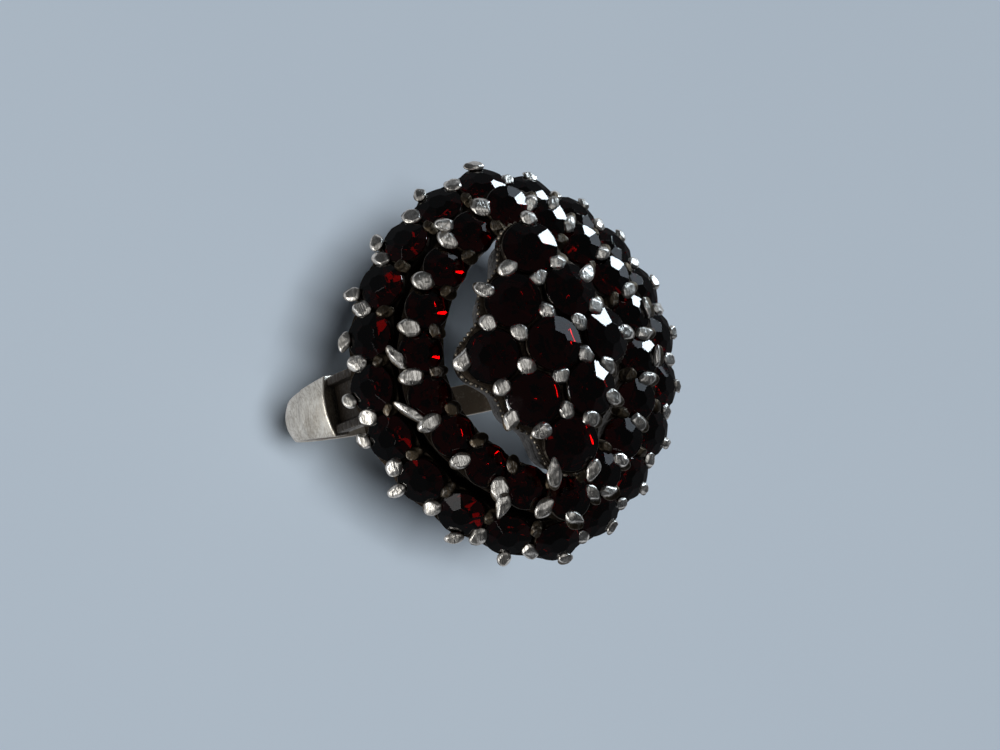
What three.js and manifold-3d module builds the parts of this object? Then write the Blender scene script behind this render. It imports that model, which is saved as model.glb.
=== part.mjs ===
// Garnet cocktail ring: three tiers of claw-set stones on an open frame, soldered to a tapered band.
// Millimetres. The origin is the centre of the finger hole, +Y runs along the finger and +Z points
// up through the head. Every piece that is made on its own at the bench is its own mesh.
import * as THREE from "three";
import { mergeVertices } from "three/addons/utils/BufferGeometryUtils.js";
import Module from "manifold-3d";

const wasm = await Module();
wasm.setup();

// Band
const FINGER_RADIUS = 8.65;
const BAND_THICKNESS = 1.2;
const BAND_BACK_THINNING = 0.2; // how much thinner the band is opposite the head
const BAND_WIDTH = 3.1; // at the shoulders
const BAND_BACK_WIDTH = 1.8;
const BAND_TAPER = 4; // exponent of the taper: above 1 the band narrows most beside the shoulders
const BAND_CROWN = 0.32; // how far the outer face falls away towards the band's edges
const BAND_END = degrees(60); // where the band stops, measured from the top of the finger hole
const SHOULDER_STEP = degrees(75); // the raised shoulder runs from the band's end to here
const SHOULDER_RAISE = 0.1;

// Lug between the band and the frame
const LUG_WIDTH = 2.8;
const LUG_THICKNESS = 0.95;
const LUG_FOOT_THICKNESS = 1.15;
const LUG_BEND_HEIGHT = 0.7; // height of the bend in the lug, as a share of the height of its foot
const LUG_BEND_INSET = 0.1; // how far the bend lies inside the line of the band's end

// Head: the outer row's stone centres lie at this height over the finger's centre
const HEAD_HEIGHT = 10.6;

// Two closed rows. "pointed" is 1 for an ellipse and grows as the ends sharpen. "rise" lifts the
// row's ends and lowers its sides.
const OUTER = {
  stones: 20,
  radius: 1.12,
  halfWidth: 7.3,
  halfLength: 8.75,
  pointed: 1.27,
  height: HEAD_HEIGHT,
  rise: 0,
  tilt: degrees(40),
};
const INNER = {
  stones: 18,
  radius: 0.98,
  halfWidth: 5.27,
  halfLength: 6.9,
  pointed: 1.5,
  height: HEAD_HEIGHT + 2.7,
  rise: 0.55,
  tilt: degrees(9),
};
const INNER_LONE_CLAWS = [1, 4, 5, 8, 10, 13, 14, 17]; // stones with a claw of their own outside

// Raised lozenge: rows of one, two, three, two and one stones along the finger
const TOP = {
  radius: 1.24,
  rows: [1, 2, 3, 2, 1],
  acrossPitch: 2.76,
  alongPitch: 2.26,
  height: HEAD_HEIGHT + 5.8,
  fallAcross: 0.09, // the dome drops by this times the square of the distance across
  fallAlong: 0.026,
  corner: 1.55, // exponent of the outline: 1 is an ellipse and 2 is a straight-sided lozenge
};

// Stone cut, as shares of the girdle radius. The eight-sided girdle bulges a little past the
// nominal circle, so that it holds the same area.
const CUT = { table: 0.42, crown: 0.42, pavilion: 0.8, facets: 8, bulge: 1.03 };

// Setting plates, measured from the girdle along the stone's axis
const PLATE_TOP = -0.2;
const PLATE_FLOOR = 0.1; // metal left under the point of a seat
const PLATE_MARGIN = 0.1; // plate beyond the girdle on the side towards the middle of the head
const PLATE_RIM = 0.22; // and on the outer side, where the lone claws stand
const SEAT_CLEARANCE = 0.05;

// Claws
const CLAW = { root: 0.22, head: 0.26, foot: -0.5, shoulder: 0.22, height: 0.44, sides: 6 };
const NOTCH_OUTSET = 0.8; // notch claws stand this far from the row's centre line
const LONE_CLAW_GAP = 0.33; // a lone claw's axis stands this far off the girdle

// Frame under the tiers
const SOLDER_GAP = 0.04;
const PLATE_GAP = 0.06; // between a row's sloping plate and the rail under it
const RAIL = { inner: -0.7, outer: 0.4, bottom: -1.9 };
const LEDGE = { inner: -2.2, top: -0.62, bottom: -1.1 };
const COLLAR = { inner: -0.12, outer: 0.18, plateGap: 1.05 };
const GALLERY = { wall: 0.4, inset: 0.6, top: -1.18, bottom: -2.75 };
const BRACKET = { width: 0.9, height: 0.55, reach: 0.75, cornerGap: 0.22 };

// A stone nearer than this many pitches touches its neighbour, and a stone with this many
// neighbours is inside the lozenge.
const TOUCHING = 1.1;
const SURROUNDED = 6;

// Smoothness
const RING_STEPS = 40;
const BAND_SEGMENTS = 20;
const BAND_STEPS = 4;
const LUG_SEGMENTS = 8;
const BRACKET_SEGMENTS = 4;
const PLATE_RINGS = [0.35, 0.7];
const OVAL_DIVISIONS = 3600; // small steps in which an oval's length is measured
const SLOPE_ANGLE = 0.05; // half the angle over which an oval's direction is measured
const MERGE_DISTANCE = 1e-5;

function degrees(value) {
  return (value * Math.PI) / 180;
}

function signedPower(value, exponent) {
  return Math.sign(value) * Math.abs(value) ** exponent;
}

// ---- solids ------------------------------------------------------------------------------------

function solidOf(geometry) {
  const bare = geometry.clone();
  bare.deleteAttribute("normal");
  bare.deleteAttribute("uv");
  const merged = mergeVertices(bare, MERGE_DISTANCE);
  return new wasm.Manifold(
    new wasm.Mesh({
      numProp: 3,
      vertProperties: merged.getAttribute("position").array,
      triVerts: new Uint32Array(merged.index.array),
    }),
  );
}

function geometryOf(solid) {
  const mesh = solid.getMesh();
  return new THREE.BufferGeometry()
    .setAttribute("position", new THREE.BufferAttribute(mesh.vertProperties, 3))
    .setIndex(new THREE.BufferAttribute(mesh.triVerts, 1));
}

// A profile of [radius, height] pairs turned about +Z.
function turned(profile, sides) {
  const points = profile.map(([radius, height]) => new THREE.Vector2(radius, height));
  return new THREE.LatheGeometry(points, sides).rotateX(Math.PI / 2);
}

// ---- layout ------------------------------------------------------------------------------------

// A point of a row's oval at an angle, with the oval grown by "out".
function ovalPoint(oval, angle, out = 0) {
  return new THREE.Vector3(
    (oval.halfWidth + out) * signedPower(Math.cos(angle), oval.pointed),
    (oval.halfLength + out) * Math.sin(angle),
    oval.height - oval.rise * Math.cos(2 * angle),
  );
}

// Angles that divide the oval into equal lengths, from its +Y end. A count of places may be doubled
// to find the notches between the stones.
function evenAngles(oval, places) {
  const lengths = [0];
  for (let i = 1; i <= OVAL_DIVISIONS; i++) {
    const before = ovalPoint(oval, angleAt((i - 1) / OVAL_DIVISIONS));
    const after = ovalPoint(oval, angleAt(i / OVAL_DIVISIONS));
    lengths.push(lengths[i - 1] + before.distanceTo(after));
  }
  const total = lengths[OVAL_DIVISIONS];
  return Array.from({ length: places }, (_, k) => {
    const reached = lengths.findIndex((length) => length >= (total * k) / places);
    return angleAt(reached / OVAL_DIVISIONS);
  });
}

function angleAt(share) {
  return Math.PI / 2 + 2 * Math.PI * share;
}

// A frame on a row: +Y leans outwards and down by the row's tilt, and +Z is the stone's axis.
function rowFrame(oval, angle) {
  const along = ovalPoint(oval, angle + SLOPE_ANGLE).sub(ovalPoint(oval, angle - SLOPE_ANGLE));
  const outward = new THREE.Vector3(along.y, -along.x, 0).normalize();
  const up = new THREE.Vector3(0, 0, 1);
  const side = outward.clone().cross(up);
  const lean = outward.clone().applyAxisAngle(side, -oval.tilt);
  const axis = up.clone().applyAxisAngle(side, -oval.tilt);
  return new THREE.Matrix4().makeBasis(side, lean, axis).setPosition(ovalPoint(oval, angle));
}

function topHeight(x, y) {
  return TOP.height - TOP.fallAcross * x * x - TOP.fallAlong * y * y;
}

// A frame on the lozenge's dome, with +Y pointing along "away": by default, away from its centre.
function topFrame(x, y, away = new THREE.Vector3(x, y, 0)) {
  const axis = new THREE.Vector3(2 * TOP.fallAcross * x, 2 * TOP.fallAlong * y, 1).normalize();
  if (away.length() === 0) away.set(0, 1, 0);
  const side = away.clone().cross(axis).normalize();
  const lean = axis.clone().cross(side);
  return new THREE.Matrix4().makeBasis(side, lean, axis).setPosition(x, y, topHeight(x, y));
}

// The lozenge's stone centres, row by row.
function topCentres() {
  const middle = (TOP.rows.length - 1) / 2;
  return TOP.rows.flatMap((count, row) =>
    Array.from({ length: count }, (_, k) => ({
      x: (k - (count - 1) / 2) * TOP.acrossPitch,
      y: (middle - row) * TOP.alongPitch,
    })),
  );
}

// ---- stones and seats --------------------------------------------------------------------------

function garnetGeometry(radius) {
  return turned(
    [
      [0, -CUT.pavilion * radius],
      [CUT.bulge * radius, 0],
      [CUT.table * radius, CUT.crown * radius],
      [0, CUT.crown * radius],
    ],
    CUT.facets,
  );
}

// The conical hollow that a stone's lower half sits in.
function seatGeometry(radius) {
  return turned(
    [
      [0, seatDepth(radius)],
      [CUT.bulge * radius + SEAT_CLEARANCE, 0],
      [0, 0],
    ],
    CUT.facets,
  );
}

function seatDepth(radius) {
  return -CUT.pavilion * radius - SEAT_CLEARANCE;
}

// The height of a plate's underside for stones of one radius.
function plateBottom(radius) {
  return seatDepth(radius) - PLATE_FLOOR;
}

function clawGeometry() {
  return turned(
    [
      [0, CLAW.foot],
      [CLAW.root, CLAW.foot],
      [CLAW.head, CLAW.shoulder],
      [0, CLAW.height],
    ],
    CLAW.sides,
  );
}

// A claw that stands at "out" along a frame's +Y.
function clawSolid(frame, out) {
  return solidOf(clawGeometry().translate(0, out, 0).applyMatrix4(frame));
}

// A plate joined to its claws, with a seat cut for each stone.
function setting(plate, claws, frames, radius) {
  const joined = claws.reduce((body, claw) => body.add(claw), solidOf(plate));
  const seats = frames.map((frame) => solidOf(seatGeometry(radius).applyMatrix4(frame)));
  const cut = seats.reduce((body, seat) => body.subtract(seat), joined);
  return geometryOf(cut);
}

// ---- closed rows -------------------------------------------------------------------------------

// A closed ring through a section of corners, each given as { oval, out, up }: "out" grows the oval
// and "up" is the height over it.
function ringBody(section) {
  const corners = [...section, section[0]];
  const outline = corners.map(() => new THREE.Vector2(1, 0));
  const geometry = new THREE.LatheGeometry(outline, RING_STEPS);
  const position = geometry.getAttribute("position");
  for (let k = 0; k < position.count; k++) {
    const corner = corners[k % corners.length];
    const step = Math.floor(k / corners.length) % RING_STEPS;
    const point = ovalPoint(corner.oval, (2 * Math.PI * step) / RING_STEPS, corner.out);
    position.setXYZ(k, point.x, point.y, point.z + corner.up);
  }
  return geometry;
}

// A corner of a row's plate: "lean" across the row and "rise" along the stones' axes.
function plateCorner(oval, lean, rise) {
  return {
    oval,
    out: lean * Math.cos(oval.tilt) + rise * Math.sin(oval.tilt),
    up: rise * Math.cos(oval.tilt) - lean * Math.sin(oval.tilt),
  };
}

function rowPlate(oval) {
  const rim = oval.radius + PLATE_RIM;
  const inner = -(oval.radius + PLATE_MARGIN);
  return ringBody([
    plateCorner(oval, rim, PLATE_TOP),
    plateCorner(oval, inner, PLATE_TOP),
    plateCorner(oval, inner, plateBottom(oval.radius)),
    plateCorner(oval, rim, plateBottom(oval.radius)),
  ]);
}

function rowFrames(oval) {
  return evenAngles(oval, oval.stones).map((angle) => rowFrame(oval, angle));
}

function notchFrames(oval) {
  return evenAngles(oval, 2 * oval.stones)
    .filter((_, k) => k % 2 === 1)
    .map((angle) => rowFrame(oval, angle));
}

// Notch claws on both sides of the row, and a lone claw outside each of the listed stones.
function rowSetting(oval, loneStones) {
  const frames = rowFrames(oval);
  const notches = notchFrames(oval).flatMap((frame) => [
    clawSolid(frame, NOTCH_OUTSET),
    clawSolid(frame, -NOTCH_OUTSET),
  ]);
  const lone = loneStones.map((k) => clawSolid(frames[k], oval.radius + LONE_CLAW_GAP));
  return setting(rowPlate(oval), [...notches, ...lone], frames, oval.radius);
}

function lowerSetting() {
  return rowSetting(
    OUTER,
    Array.from({ length: OUTER.stones }, (_, k) => k),
  );
}

function middleSetting() {
  return rowSetting(INNER, INNER_LONE_CLAWS);
}

// ---- raised lozenge ----------------------------------------------------------------------------

// A point of the lozenge's outline, inset from the plate's edge.
function lozengePoint(angle, inset) {
  const reach = TOP.radius + PLATE_RIM - inset;
  const across = ((Math.max(...TOP.rows) - 1) / 2) * TOP.acrossPitch;
  const along = ((TOP.rows.length - 1) / 2) * TOP.alongPitch;
  return {
    x: (across + reach) * signedPower(Math.cos(angle), TOP.corner),
    y: (along + reach) * signedPower(Math.sin(angle), TOP.corner),
  };
}

// The domed plate: rings of points from the middle out to the lozenge's edge, over and under.
function topPlate() {
  const over = [0, ...PLATE_RINGS, 1].map((share) => ({ share, depth: PLATE_TOP }));
  const under = over.map(({ share }) => ({ share, depth: plateBottom(TOP.radius) })).reverse();
  const rings = [...over, ...under].reverse();
  const outline = rings.map(({ share, depth }) => new THREE.Vector2(share, depth));
  const geometry = new THREE.LatheGeometry(outline, RING_STEPS);
  const position = geometry.getAttribute("position");
  for (let k = 0; k < position.count; k++) {
    const { share, depth } = rings[k % rings.length];
    const step = Math.floor(k / rings.length) % RING_STEPS;
    const edge = lozengePoint((2 * Math.PI * step) / RING_STEPS, 0);
    const x = share * edge.x;
    const y = share * edge.y;
    position.setXYZ(k, x, y, topHeight(x, y) + depth);
  }
  return geometry;
}

function touching(a, b) {
  return Math.hypot(a.x - b.x, a.y - b.y) < TOUCHING * TOP.acrossPitch;
}

// The stones on the lozenge's edge, which have others on some sides only.
function edgeCentres() {
  const centres = topCentres();
  return centres.filter((a) => centres.filter((b) => b !== a && touching(a, b)).length < SURROUNDED);
}

// The middle of each triangle of touching stones.
function triangleMiddles() {
  const centres = topCentres();
  const middles = [];
  centres.forEach((a, i) =>
    centres.slice(i + 1).forEach((b, j) =>
      centres.slice(i + j + 2).forEach((c) => {
        if (touching(a, b) && touching(b, c) && touching(a, c)) {
          middles.push({ x: (a.x + b.x + c.x) / 3, y: (a.y + b.y + c.y) / 3 });
        }
      }),
    ),
  );
  return middles;
}

// A frame in each notch between two touching edge stones of one side, facing square out of it.
function edgeNotchFrames() {
  const edge = edgeCentres();
  const sameSide = (a, b) => a.x === 0 || b.x === 0 || a.x * b.x > 0;
  return edge.flatMap((a, i) =>
    edge
      .slice(i + 1)
      .filter((b) => touching(a, b) && sameSide(a, b))
      .map((b) => {
        const x = (a.x + b.x) / 2;
        const y = (a.y + b.y) / 2;
        const outAcross = Math.abs(a.y - b.y) * Math.sign(x);
        const outAlong = Math.abs(a.x - b.x) * Math.sign(y);
        return topFrame(x, y, new THREE.Vector3(outAcross, outAlong, 0));
      }),
  );
}

// Claws of the lozenge: one outside each edge stone, one in each notch of the edge, and one in the
// middle of each triangle of stones.
function topClaws() {
  const middles = triangleMiddles().map(({ x, y }) => clawSolid(topFrame(x, y), 0));
  const outside = edgeCentres().map(({ x, y }) => clawSolid(topFrame(x, y), TOP.radius + LONE_CLAW_GAP));
  const notches = edgeNotchFrames().map((frame) => clawSolid(frame, NOTCH_OUTSET));
  return [...middles, ...outside, ...notches];
}

function topFrames() {
  return topCentres().map(({ x, y }) => topFrame(x, y));
}

function topSetting() {
  return setting(topPlate(), topClaws(), topFrames(), TOP.radius);
}

// The upright wall under the lozenge's plate.
function topGallery() {
  const corners = [
    { inset: GALLERY.inset, up: GALLERY.top },
    { inset: GALLERY.inset + GALLERY.wall, up: GALLERY.top },
    { inset: GALLERY.inset + GALLERY.wall, up: GALLERY.bottom },
    { inset: GALLERY.inset, up: GALLERY.bottom },
    { inset: GALLERY.inset, up: GALLERY.top },
  ];
  const outline = corners.map(() => new THREE.Vector2(1, 0));
  const geometry = new THREE.LatheGeometry(outline, RING_STEPS);
  const position = geometry.getAttribute("position");
  for (let k = 0; k < position.count; k++) {
    const { inset, up } = corners[k % corners.length];
    const step = Math.floor(k / corners.length) % RING_STEPS;
    const { x, y } = lozengePoint((2 * Math.PI * step) / RING_STEPS, inset);
    const base = up === GALLERY.top ? topHeight(x, y) : TOP.height;
    position.setXYZ(k, x, y, base + up);
  }
  return geometry;
}

// ---- frame -------------------------------------------------------------------------------------

// Rail under the outer row, whose sloping top follows the row's plate, with an inner ledge.
function baseFrame() {
  const low = plateCorner(OUTER, OUTER.radius + PLATE_RIM, plateBottom(OUTER.radius));
  const slope = Math.tan(OUTER.tilt);
  const under = (out) => low.up + (low.out - out) * slope - PLATE_GAP;
  const ledgeStart = low.out - (LEDGE.top - low.up + PLATE_GAP) / slope;
  return ringBody([
    { oval: OUTER, out: RAIL.outer, up: RAIL.bottom },
    { oval: OUTER, out: RAIL.outer, up: under(RAIL.outer) },
    { oval: OUTER, out: ledgeStart, up: LEDGE.top },
    { oval: OUTER, out: LEDGE.inner, up: LEDGE.top },
    { oval: OUTER, out: LEDGE.inner, up: LEDGE.bottom },
    { oval: OUTER, out: RAIL.inner, up: LEDGE.bottom },
    { oval: OUTER, out: RAIL.inner, up: RAIL.bottom },
  ]);
}

// Upright wall from the ledge to the underside of the inner row.
function riserCollar() {
  const foot = OUTER.height + LEDGE.top + SOLDER_GAP;
  const flat = { ...INNER, height: foot, rise: 0 };
  return ringBody([
    { oval: flat, out: COLLAR.outer, up: 0 },
    { oval: INNER, out: COLLAR.outer, up: -COLLAR.plateGap },
    { oval: INNER, out: COLLAR.inner, up: -COLLAR.plateGap },
    { oval: flat, out: COLLAR.inner, up: 0 },
  ]);
}

// Small block that ties an end of the lozenge's wall to the inner row.
function bracket(end) {
  const rowCorner = plateCorner(INNER, -(INNER.radius + PLATE_MARGIN), plateBottom(INNER.radius));
  const rowEnd = INNER.halfLength + rowCorner.out;
  const top = TOP.height + GALLERY.bottom - SOLDER_GAP;
  const outer = rowEnd - BRACKET.cornerGap;
  const outline = new THREE.Shape();
  outline.moveTo(outer - BRACKET.reach, top);
  outline.lineTo(outer, top);
  outline.lineTo(outer, top - BRACKET.height);
  outline.quadraticCurveTo(outer - BRACKET.reach, top - BRACKET.height, outer - BRACKET.reach, top);
  const geometry = new THREE.ExtrudeGeometry(outline, {
    depth: BRACKET.width,
    bevelEnabled: false,
    curveSegments: BRACKET_SEGMENTS,
  });
  // The outline's own x and y become the part's Y and Z.
  geometry.translate(0, 0, -BRACKET.width / 2).rotateY(Math.PI / 2).rotateX(Math.PI / 2);
  return end > 0 ? geometry : geometry.rotateZ(Math.PI);
}

// Lug from the band's end up to the frame, on the side given by +1 or -1.
function lug(side) {
  const from = degrees(90) - BAND_END + SOLDER_GAP / FINGER_RADIUS;
  const outerRadius = FINGER_RADIUS + LUG_THICKNESS;
  const foot = HEAD_HEIGHT + RAIL.bottom - SOLDER_GAP;
  const footOuter = OUTER.halfWidth + RAIL.outer;
  const footInner = footOuter - LUG_FOOT_THICKNESS;
  const inner = new THREE.Vector2(Math.cos(from), Math.sin(from)).multiplyScalar(FINGER_RADIUS);
  const outer = new THREE.Vector2(Math.cos(from), Math.sin(from)).multiplyScalar(outerRadius);
  const bendHeight = foot * LUG_BEND_HEIGHT;
  const outline = new THREE.Shape();
  outline.moveTo(inner.x, inner.y);
  outline.lineTo(outer.x, outer.y);
  outline.quadraticCurveTo(outer.x - LUG_BEND_INSET, bendHeight, footOuter, foot);
  outline.lineTo(footInner, foot);
  outline.quadraticCurveTo(inner.x - LUG_BEND_INSET, bendHeight, inner.x, inner.y);
  const geometry = new THREE.ExtrudeGeometry(outline, {
    depth: LUG_WIDTH,
    bevelEnabled: false,
    curveSegments: LUG_SEGMENTS,
  });
  geometry.translate(0, 0, -LUG_WIDTH / 2).rotateX(Math.PI / 2);
  return side > 0 ? geometry : geometry.rotateZ(Math.PI);
}

// ---- band --------------------------------------------------------------------------------------

// 1 at the band's ends and 0 at its back, for an angle from the top of the finger hole.
function shoulderShare(fromTop) {
  return (Math.PI - fromTop) / (Math.PI - BAND_END);
}

// Half the band's width, and its outer radius, at an angle from the top of the finger hole.
function bandHalfWidth(fromTop) {
  const share = shoulderShare(fromTop) ** BAND_TAPER;
  return (BAND_BACK_WIDTH + (BAND_WIDTH - BAND_BACK_WIDTH) * share) / 2;
}

function bandOuterRadius(fromTop) {
  const thickness = BAND_THICKNESS - BAND_BACK_THINNING * (1 - shoulderShare(fromTop));
  const raise = fromTop < SHOULDER_STEP ? SHOULDER_RAISE : 0;
  return FINGER_RADIUS + thickness + raise;
}

// The band is first drawn two units wide, so that Y is the share of its half width.
function band() {
  const outerRadius = FINGER_RADIUS + BAND_THICKNESS;
  const start = degrees(90) - BAND_END;
  const finish = start - 2 * (Math.PI - BAND_END);
  const outline = new THREE.Shape();
  outline.absarc(0, 0, outerRadius, start, finish, true);
  outline.absarc(0, 0, FINGER_RADIUS, finish, start, false);
  const geometry = new THREE.ExtrudeGeometry(outline, {
    depth: 2,
    steps: BAND_STEPS,
    bevelEnabled: false,
    curveSegments: BAND_SEGMENTS,
  });
  geometry.translate(0, 0, -1).rotateX(Math.PI / 2);
  const position = geometry.getAttribute("position");
  const middle = FINGER_RADIUS + BAND_THICKNESS / 2;
  for (let k = 0; k < position.count; k++) {
    const x = position.getX(k);
    const share = position.getY(k);
    const z = position.getZ(k);
    const radius = Math.hypot(x, z);
    const fromTop = Math.acos(z / radius);
    const crowned = bandOuterRadius(fromTop) - BAND_CROWN * share * share;
    const scale = radius > middle ? crowned / radius : 1;
    position.setXYZ(k, x * scale, share * bandHalfWidth(fromTop), z * scale);
  }
  return geometry;
}

// ---- materials ---------------------------------------------------------------------------------

function garnet() {
  return new THREE.MeshStandardMaterial({ color: 0x3a0208, roughness: 0.08, metalness: 0 });
}

function brightSilver() {
  return new THREE.MeshStandardMaterial({ color: 0xc9c4ba, roughness: 0.35, metalness: 1 });
}

function wornSilver() {
  return new THREE.MeshStandardMaterial({ color: 0x9a948a, roughness: 0.42, metalness: 1 });
}

function darkSilver() {
  return new THREE.MeshStandardMaterial({ color: 0x4c453d, roughness: 0.55, metalness: 1 });
}

// ---- assembly ----------------------------------------------------------------------------------

const ring = new THREE.Group();

function addPiece(name, geometry, material) {
  const mesh = new THREE.Mesh(geometry, material);
  mesh.name = name;
  ring.add(mesh);
  return mesh;
}

function addGarnets(prefix, radius, frames) {
  frames.forEach((frame, k) => {
    const number = String(k + 1).padStart(2, "0");
    const stone = addPiece(`${prefix}_${number}`, garnetGeometry(radius), garnet());
    stone.applyMatrix4(frame);
  });
}

addPiece("band", band(), brightSilver());
addPiece("lug_left", lug(-1), darkSilver());
addPiece("lug_right", lug(1), darkSilver());
addPiece("base_frame", baseFrame(), darkSilver());
addPiece("riser_collar", riserCollar(), darkSilver());
addPiece("lower_setting", lowerSetting(), wornSilver());
addPiece("middle_setting", middleSetting(), wornSilver());
addPiece("top_gallery", topGallery(), darkSilver());
addPiece("top_setting", topSetting(), wornSilver());
addPiece("bracket_front", bracket(1), darkSilver());
addPiece("bracket_back", bracket(-1), darkSilver());
addGarnets("garnet_outer", OUTER.radius, rowFrames(OUTER));
addGarnets("garnet_inner", INNER.radius, rowFrames(INNER));
addGarnets("garnet_top", TOP.radius, topFrames());

export default ring;
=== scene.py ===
# Garnet cocktail ring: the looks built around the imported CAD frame. Lengths are in millimetres and
# are turned into metres when a mesh is made. "out" is the direction away from the head.
import random
from collections import Counter, namedtuple
from itertools import combinations
from math import acos, atan, atan2, copysign, cos, pi, radians, sin, tan, tau

import bmesh
import bpy
from mathutils import Matrix, Vector, noise


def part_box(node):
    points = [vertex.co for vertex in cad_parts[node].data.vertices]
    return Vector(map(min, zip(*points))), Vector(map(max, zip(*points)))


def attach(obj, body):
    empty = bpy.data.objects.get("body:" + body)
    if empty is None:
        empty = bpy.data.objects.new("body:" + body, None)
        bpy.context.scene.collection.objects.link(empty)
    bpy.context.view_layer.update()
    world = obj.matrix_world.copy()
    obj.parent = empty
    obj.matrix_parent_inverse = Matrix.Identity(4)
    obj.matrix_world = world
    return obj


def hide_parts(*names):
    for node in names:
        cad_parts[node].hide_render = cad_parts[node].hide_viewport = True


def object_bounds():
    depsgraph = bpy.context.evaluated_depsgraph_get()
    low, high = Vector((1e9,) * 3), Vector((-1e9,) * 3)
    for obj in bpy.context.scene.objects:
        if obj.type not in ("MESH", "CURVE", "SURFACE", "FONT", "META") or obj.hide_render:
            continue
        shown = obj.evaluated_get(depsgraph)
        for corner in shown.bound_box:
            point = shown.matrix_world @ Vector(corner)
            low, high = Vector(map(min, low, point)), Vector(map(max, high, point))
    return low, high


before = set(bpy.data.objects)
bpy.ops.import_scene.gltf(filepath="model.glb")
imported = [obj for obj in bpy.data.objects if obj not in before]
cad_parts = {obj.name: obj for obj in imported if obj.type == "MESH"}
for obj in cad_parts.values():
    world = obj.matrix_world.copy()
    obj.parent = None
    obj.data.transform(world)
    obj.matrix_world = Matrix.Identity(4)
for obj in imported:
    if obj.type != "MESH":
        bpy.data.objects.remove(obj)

CAD_BOUNDS = [list(corner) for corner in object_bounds()]
MM = 0.001
UP = Vector((0, 0, 1))
AHEAD = Vector((0, 1, 0))
NOISE_SPAN = 99  # seeds are drawn from a cube of noise of this size

# Shared heights above a stone's girdle, and widths beyond it
PLATE_TOP = -0.2
PLATE_FLOOR = 0.15  # plate below the stones' points
PLATE_OUTER = 0.08  # plate beyond the girdle
PAVILION_DEPTH = 0.8  # share of the girdle radius
NOTCH_OUT = 0.8  # a notch claw stands this far from the line of its stones
CLAW_STEM = 0.2  # radius of a claw's stem


# ---- vectors and curves ----

def flat(vector):
    return Vector((vector.x, vector.y, 0))


def angles(count):
    """So many angles, evenly spread over a whole turn."""
    return [tau * k / count for k in range(count)]


def spoke(angle, radius=1, height=0):
    """The point at an angle round the Z axis."""
    return Vector((radius * cos(angle), radius * sin(angle), height))


def sphere_point(around, tilt):
    """The point of the unit sphere that lies a tilt above its equator."""
    return Vector((cos(around) * cos(tilt), sin(around) * cos(tilt), sin(tilt)))


def leaning(tilt, around):
    """The unit vector that leans a tilt away from straight up."""
    return Vector((sin(tilt) * cos(around), sin(tilt) * sin(around), cos(tilt)))


def smooth_step(low, high, value):
    share = min(max((value - low) / (high - low), 0), 1)
    return share * share * (3 - 2 * share)


def closed_curve(points, steps):
    """A smooth closed curve (Catmull-Rom) through the points, with so many steps between two."""
    curve = []
    count = len(points)
    for k in range(count):
        a, b, c, d = (points[(k + shift) % count] for shift in (-1, 0, 1, 2))
        for step in range(steps):
            t = step / steps
            pull = (c - a) * t + (2 * a - 5 * b + 4 * c - d) * t**2 + (3 * b - a - 3 * c + d) * t**3
            curve.append(b + pull / 2)
    return curve


def bent(start, bend, end, share):
    """A point of the curve that runs from start to end and is drawn towards bend."""
    return start * (1 - share) ** 2 + bend * 2 * share * (1 - share) + end * share**2


def evenly(curve, spacing):
    """Points a fixed distance apart along a closed curve."""
    lengths = [(curve[k] - curve[k - 1]).length for k in range(len(curve))]
    total = sum(lengths)
    count = round(total / spacing)
    points = []
    walked = 0
    for k, length in enumerate(lengths):
        while len(points) < count and len(points) * total / count <= walked + length:
            share = (len(points) * total / count - walked) / length
            points.append(curve[k - 1].lerp(curve[k], share))
        walked += length
    return points


def basis(x, y, z, origin):
    """The matrix that takes local axes to x, y and z, and the local origin to origin."""
    columns = Matrix((x, y, z)).transposed().to_4x4()
    columns.translation = origin
    return columns


# ---- the stones of the frame ----

GIRDLE_BULGE = 1.03  # the CAD girdle has eight sides, whose corners stand this far out
GIRDLE_SHARE = 0.99  # points that reach out at least this far belong to the girdle
NORMAL_DIGITS = 3
TOUCHING = 1.15  # two stones of the lozenge touch if they are nearer than this many pitches
ENCLOSED = 6  # neighbours of a stone that isn't at the lozenge's edge


class Stone:
    """A garnet's place, read from its CAD node: girdle centre, axis and girdle radius."""

    def __init__(self, node):
        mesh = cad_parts[node].data
        points = [vertex.co / MM for vertex in mesh.vertices]
        normals = Counter(
            tuple(round(value, NORMAL_DIGITS) for value in face.normal) for face in mesh.polygons
        )
        self.node = node
        self.axis = Vector(normals.most_common(1)[0][0]).normalized()  # the table's
        culet = min(points, key=lambda point: point.dot(self.axis))
        reaches = [self.off_axis(point - culet) for point in points]
        widest = max(reaches)
        girdle = [point for point, reach in zip(points, reaches) if reach > GIRDLE_SHARE * widest]
        self.centre = sum(girdle, Vector()) / len(girdle)
        self.radius = widest / GIRDLE_BULGE

    def off_axis(self, offset):
        return (offset - self.axis * offset.dot(self.axis)).length

    def place(self):
        """The matrix from the stone's own space: its origin in the girdle, its Z along the axis."""
        side = AHEAD.cross(self.axis).normalized()
        return basis(side, self.axis.cross(side), self.axis, self.centre)


def stones_named(prefix):
    names = sorted(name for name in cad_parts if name.startswith(prefix))
    return [Stone(name) for name in names]


OUTER = stones_named("garnet_outer_")
INNER = stones_named("garnet_inner_")
TOP = stones_named("garnet_top_")


def row_out(stones, k):
    """The direction away from the head, square to the axis of stone k of a closed row."""
    along = stones[(k + 1) % len(stones)].centre - stones[k - 1].centre
    return along.cross(stones[k].axis).normalized()


def row_notch(stones, k):
    """Middle point, axis and outward direction of the notch after stone k of a closed row."""
    a = stones[k]
    b = stones[(k + 1) % len(stones)]
    axis = (a.axis + b.axis).normalized()
    return (a.centre + b.centre) / 2, axis, (b.centre - a.centre).cross(axis).normalized()


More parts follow.
